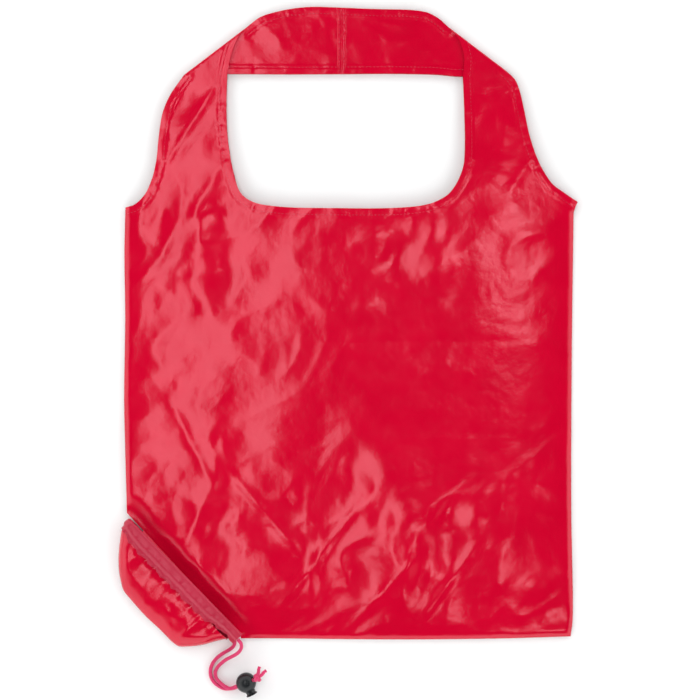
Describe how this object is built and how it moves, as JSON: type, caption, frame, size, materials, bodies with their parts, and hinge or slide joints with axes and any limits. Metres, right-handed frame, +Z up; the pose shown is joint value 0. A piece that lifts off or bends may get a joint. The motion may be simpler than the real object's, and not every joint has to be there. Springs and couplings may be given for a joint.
{
  "type": "foldable tote bag",
  "caption": "Foldable shopping bag with a pair of handle loops and a drawstring pouch over one bottom corner, closed by a ball cord lock.",
  "frame": {"origin": "centre of the bag's footprint on the surface it lies on, without the free cord and its lock", "axes": "+Z up off the surface, +Y from the bottom seam towards the handles, +X to the right with the pouch at the lower left"},
  "size_m": [0.3881, 0.5803, 0.0169],
  "materials": {
    "red_nylon": "gloss",
    "cord_braid": "matte",
    "black_plastic": "satin",
    "spring_steel": "satin"
  },
  "bodies": {
    "bag": {"back_panel": "red_nylon", "front_panel": "red_nylon", "side_seam_left": "red_nylon", "side_seam_right": "red_nylon", "bottom_seam": "red_nylon", "drawcord_tail_front": "cord_braid", "drawcord_tail_back": "cord_braid", "drawcord_knot": "cord_braid", "drawcord_end_left": "cord_braid", "drawcord_end_right": "cord_braid"},
    "back_handle": {"back_handle_left": "red_nylon", "back_handle_right": "red_nylon", "back_handle_seam": "red_nylon", "front_strap_foot_left": "red_nylon", "front_strap_foot_right": "red_nylon"},
    "front_handle": {"front_handle_left": "red_nylon", "front_handle_right": "red_nylon", "front_handle_seam": "red_nylon"},
    "pouch": {"pouch_back": "red_nylon", "pouch_front": "red_nylon", "pouch_casing": "red_nylon", "tucked_corner": "red_nylon", "drawcord_in_casing": "cord_braid"},
    "cord_lock": {"lock_barrel": "black_plastic", "lock_spring": "spring_steel"},
    "lock_button": {"lock_plunger": "black_plastic"}
  },
  "joints": [
    {"name": "handles_fold", "type": "hinge", "parent": "bag", "child": "back_handle", "pos_m": [0, 0.106, 0.008], "axis": [1, 0, 0], "range_deg": [0, 110]},
    {"name": "front_handle_open", "type": "hinge", "parent": "back_handle", "child": "front_handle", "pos_m": [0, 0.14, 0.008], "axis": [1, 0, 0], "range_deg": [0, 65]},
    {"name": "pouch_fold", "type": "hinge", "parent": "bag", "child": "pouch", "pos_m": [-0.183, -0.16, 0.0148], "axis": [-0.682, 0.7314, 0], "range_deg": [0, 120]},
    {"name": "lock_slide", "type": "slide", "parent": "bag", "child": "cord_lock", "axis": [-0.8333, -0.4065, -0.3746], "range_m": [0, 0.003]},
    {"name": "button_press", "type": "slide", "parent": "cord_lock", "child": "lock_button", "axis": [-0.4384, 0.8988, 0], "range_m": [0, 0.0025], "stiffness_N_per_m": 400, "deforming": ["lock_spring"]}
  ]
}
